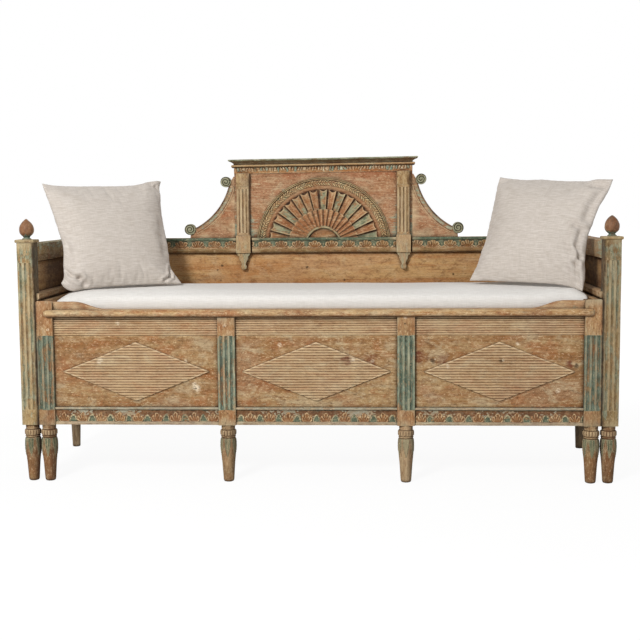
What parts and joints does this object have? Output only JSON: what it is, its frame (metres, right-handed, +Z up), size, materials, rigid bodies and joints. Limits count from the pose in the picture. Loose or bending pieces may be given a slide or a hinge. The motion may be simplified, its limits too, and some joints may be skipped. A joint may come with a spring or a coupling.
{
  "type": "swedish pull out bench bed",
  "caption": "Antique painted wooden bench with carved crest, arms and a panelled front box on feet that slides out to make a slatted bed, with seat cushion and scatter cushions.",
  "frame": {"origin": "on the floor, below the middle of the closed bench's outer box", "axes": "+X along the length, to the right as seen from the front; +Y from the front to the back; +Z up"},
  "size_m": [1.93, 0.6, 1.061],
  "materials": {
    "bare_pine": "unpainted aged pine",
    "carved_paint": "carved leaves in alternating teal and tan paint",
    "crest_paint": "worn salmon and orange paint",
    "cushion_linen": "greige slubbed linen",
    "finial_wood": "dark rubbed brown wood",
    "post_paint": "dry scraped grey green and teal paint in the flutes",
    "seat_linen": "pale plain linen",
    "worn_paint": "dry scraped paint over pine, worn to tan and pink brown"
  },
  "bodies": {
    "bench_frame": {"arch_rim": "carved_paint", "arm_panel_left": "worn_paint", "arm_panel_right": "worn_paint", "arm_seat_rail_left": "worn_paint", "arm_seat_rail_right": "worn_paint", "arm_top_rail_left": "worn_paint", "arm_top_rail_right": "worn_paint", "back_bottom_rail": "bare_pine", "back_lid_cleat": "bare_pine", "back_moulding_centre": "carved_paint", "back_moulding_left": "carved_paint", "back_moulding_right": "carved_paint", "back_panel_lower": "bare_pine", "back_panel_upper": "worn_paint", "back_top_rail": "worn_paint", "crest_bead": "carved_paint", "crest_board": "crest_paint", "crest_cornice": "carved_paint", "crest_leaf_frieze": "carved_paint", "finial_left": "finial_wood", "finial_right": "finial_wood", "fixed_slats": "bare_pine", "front_post_left": "post_paint", "front_post_right": "post_paint", "front_stretcher": "bare_pine", "pilaster_left": "post_paint", "pilaster_right": "post_paint", "rear_post_left": "worn_paint", "rear_post_right": "worn_paint", "scroll_bracket_left": "carved_paint", "scroll_bracket_right": "carved_paint", "side_bottom_rail_left": "worn_paint", "side_bottom_rail_right": "worn_paint", "side_panel_left": "worn_paint", "side_panel_right": "worn_paint", "sunburst_hub": "crest_paint", "sunburst_inner_petals": "crest_paint", "sunburst_outer_petals": "crest_paint"},
    "pull_out_box": {"diamond_centre": "worn_paint", "diamond_left": "worn_paint", "diamond_right": "worn_paint", "drawer_corner_post_left": "post_paint", "drawer_corner_post_right": "post_paint", "drawer_ledge": "bare_pine", "drawer_lid_cleats": "bare_pine", "drawer_mid_post_left": "post_paint", "drawer_mid_post_right": "post_paint", "drawer_side_left": "bare_pine", "drawer_side_right": "bare_pine", "drawer_slats": "bare_pine", "front_panel": "worn_paint", "front_top_board": "worn_paint", "leaf_rail": "carved_paint", "reeded_rail": "worn_paint", "roll_moulding": "worn_paint"},
    "seat_lid": {"seat_lid_back": "bare_pine", "seat_lid_front": "bare_pine"},
    "seat_cushion_body": {"seat_cushion": "seat_linen"},
    "pillow_left_body": {"pillow_left": "cushion_linen"},
    "pillow_right_body": {"pillow_right": "cushion_linen"}
  },
  "joints": [
    {"name": "pull_out", "type": "slide", "parent": "bench_frame", "child": "pull_out_box", "axis": [0, -1, 0], "range_m": [0, 0.43]},
    {"name": "lid_lift", "type": "slide", "parent": "bench_frame", "child": "seat_lid", "axis": [0, 0, 1], "range_m": [0, 0.3]},
    {"name": "seat_cushion_lift", "type": "slide", "parent": "seat_lid", "child": "seat_cushion_body", "axis": [0, 0, 1], "range_m": [0, 0.25]},
    {"name": "pillow_left_lift", "type": "slide", "parent": "seat_cushion_body", "child": "pillow_left_body", "axis": [0, 0, 1], "range_m": [0, 0.2]},
    {"name": "pillow_right_lift", "type": "slide", "parent": "seat_cushion_body", "child": "pillow_right_body", "axis": [0, 0, 1], "range_m": [0, 0.2]}
  ]
}
